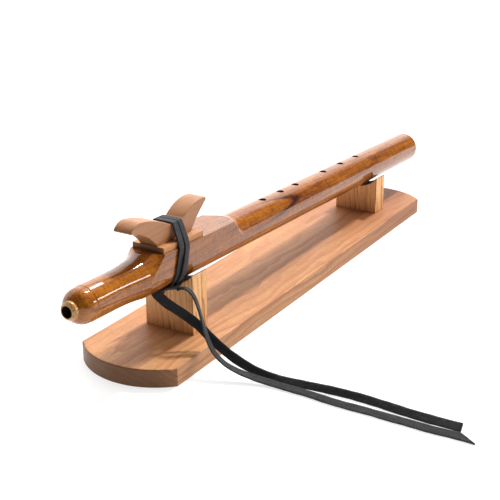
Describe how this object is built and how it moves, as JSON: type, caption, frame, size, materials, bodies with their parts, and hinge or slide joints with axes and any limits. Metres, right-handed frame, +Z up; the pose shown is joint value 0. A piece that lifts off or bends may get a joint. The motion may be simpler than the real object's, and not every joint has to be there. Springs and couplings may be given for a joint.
{
  "type": "block flute on a display stand",
  "caption": "Wooden block flute with finger holes and a carved block tied on by a leather lace, lying in the cradles of its display stand.",
  "frame": {"origin": "on the stand board's underside, below the flute's axis, 8.5 mm from the board's centre towards the mouth end and 1.75 mm from it towards -Y", "axes": "+X from the flute's mouth end to its foot, +Z up, +Y to the left seen from the mouth end"},
  "size_m": [0.6288, 0.3294, 0.1286],
  "materials": {
    "flute_wood": "gloss varnish",
    "mouthpiece_wood": "gloss varnish",
    "spacer_wood": "satin",
    "bird_wood": "satin, unvarnished",
    "stand_wood": "satin oil",
    "cradle_wood": "satin oil",
    "cradle_leather": "matt",
    "lace_leather": "satin",
    "screw_steel": "zinc plated"
  },
  "bodies": {
    "stand": {"stand_board": "stand_wood", "front_cradle": "cradle_wood", "rear_cradle": "cradle_wood", "front_cradle_pad": "cradle_leather", "rear_cradle_pad": "cradle_leather", "block_screws": "screw_steel"},
    "flute": {"flute_upper_half": "flute_wood", "flute_lower_half": "flute_wood", "mouthpiece": "mouthpiece_wood", "strap_turn_front": "lace_leather", "strap_turn_rear": "lace_leather", "strap_knot": "lace_leather", "strap_tail_wide": "lace_leather", "strap_tail_narrow": "lace_leather"},
    "spacer": {"spacer_plate": "spacer_wood"},
    "bird": {"bird_block": "bird_wood"}
  },
  "joints": [
    {"name": "flute_lift", "type": "slide", "parent": "stand", "child": "flute", "axis": [0, 0, 1], "range_m": [0, 0.12]},
    {"name": "spacer_slide", "type": "slide", "parent": "flute", "child": "spacer", "axis": [0.9993, 0, -0.0384], "range_m": [-0.0015, 0.0015]},
    {"name": "bird_slide", "type": "slide", "parent": "flute", "child": "bird", "axis": [0.9993, 0, -0.0384], "range_m": [-0.0008, 0.0008]}
  ]
}
